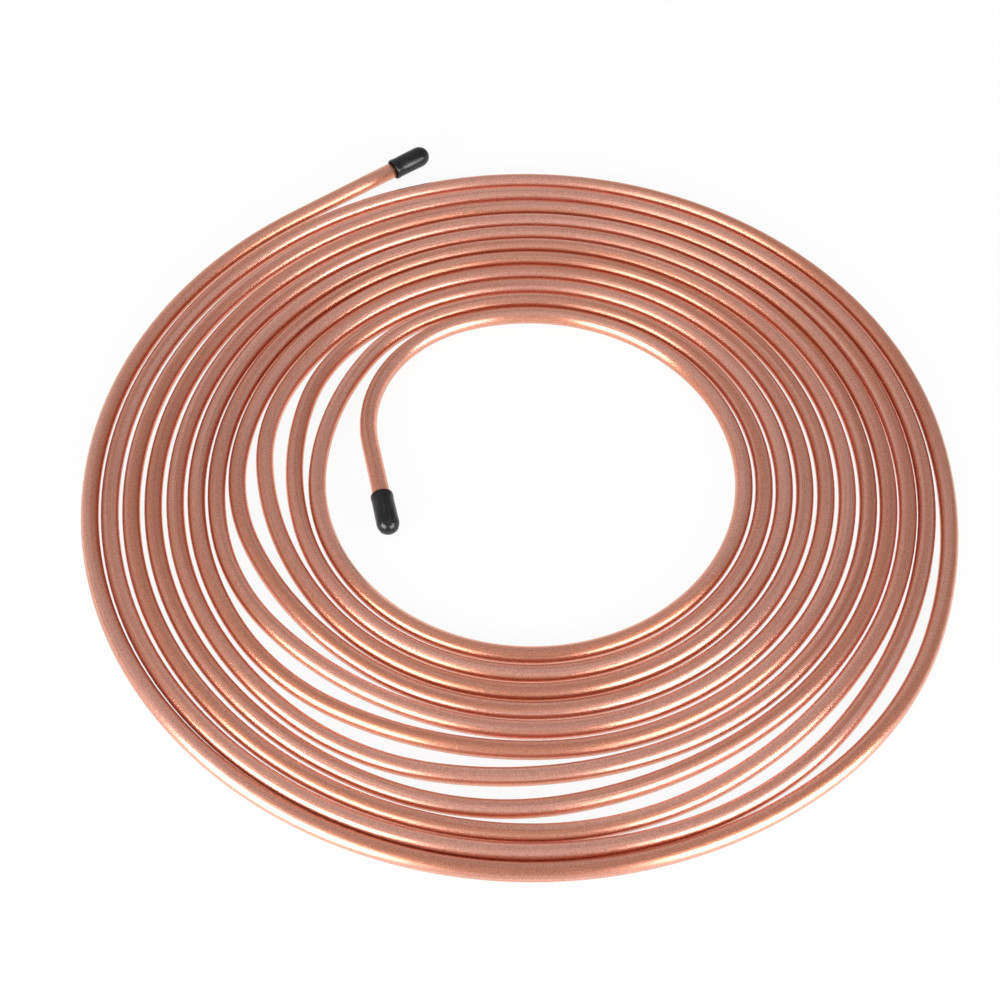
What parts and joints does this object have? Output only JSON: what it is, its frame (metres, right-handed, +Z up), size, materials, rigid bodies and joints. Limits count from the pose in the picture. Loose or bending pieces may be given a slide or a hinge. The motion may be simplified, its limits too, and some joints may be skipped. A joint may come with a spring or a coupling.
{
  "type": "brake line coil",
  "caption": "Flat loose coil of copper-nickel brake line tubing with a black vinyl cap on each end.",
  "frame": {"origin": "on the floor, at the axis of the coil's innermost turn", "axes": "+Z up along the coil's axis, the thinnest way through; the outer end leaves the coil on the +Y side and points towards +X and +Y"},
  "size_m": [0.2342, 0.2446, 0.0063],
  "materials": {
    "copper_nickel": "satin drawn copper-nickel, warm pink-brown",
    "vinyl": "semi-gloss black vinyl"
  },
  "bodies": {
    "root": {"brake_line": "copper_nickel", "outer_end_cap": "vinyl", "inner_end_cap": "vinyl"}
  },
  "joints": []
}
